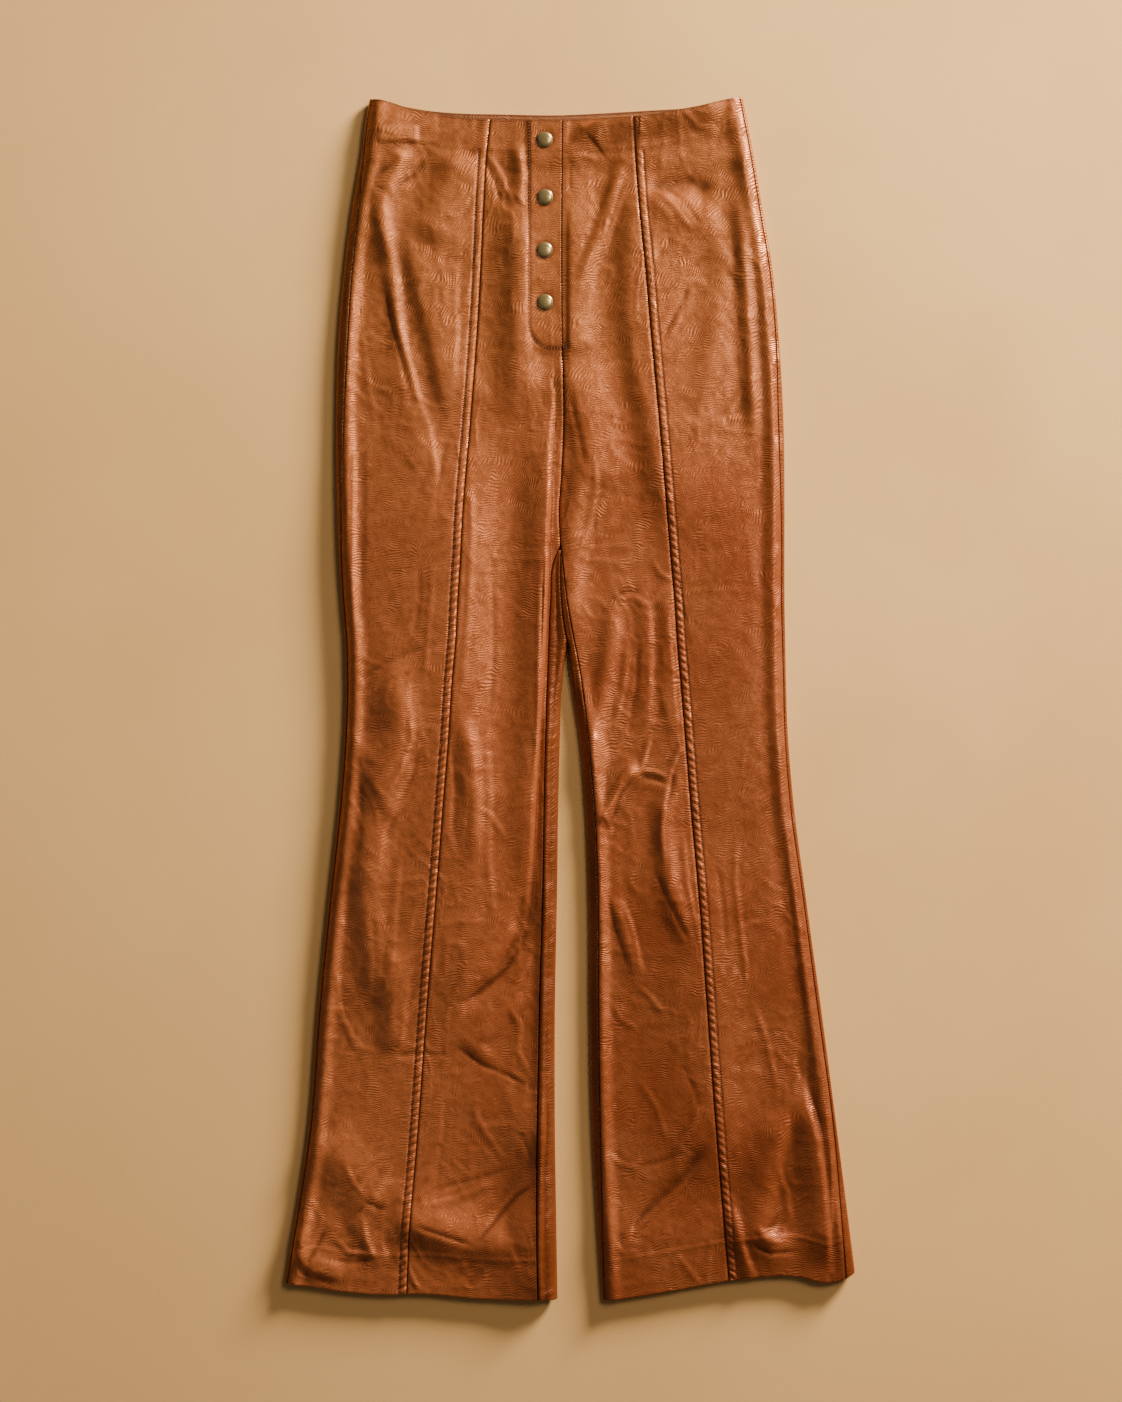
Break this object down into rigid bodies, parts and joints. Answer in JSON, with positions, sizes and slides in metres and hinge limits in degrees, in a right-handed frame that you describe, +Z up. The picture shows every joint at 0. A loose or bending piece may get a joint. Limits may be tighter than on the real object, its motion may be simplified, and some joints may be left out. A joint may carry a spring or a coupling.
{
  "type": "leather trousers",
  "caption": "High-waisted flared leather trousers laid flat, with princess seams, a snap fly and turned-up hems.",
  "frame": {"origin": "middle of the footprint, on the surface that the trousers lie on", "axes": "+Z up from the surface, +Y towards the waist, +X to the right as seen from above"},
  "size_m": [0.499, 1.0521, 0.0187],
  "materials": {
    "leather": "glossy, finely creased",
    "leather_inside": "semi-gloss",
    "aged_brass": "aged, polished dome"
  },
  "bodies": {
    "root": {"front_side_left": "leather", "front_centre_left": "leather", "front_centre_right": "leather", "front_side_right": "leather", "back_left": "leather", "back_right": "leather", "back_waist_facing": "leather_inside", "fly_underlap": "leather_inside", "snap_cap_1": "aged_brass", "snap_cap_2": "aged_brass", "snap_cap_3": "aged_brass", "snap_cap_4": "aged_brass"}
  },
  "joints": []
}
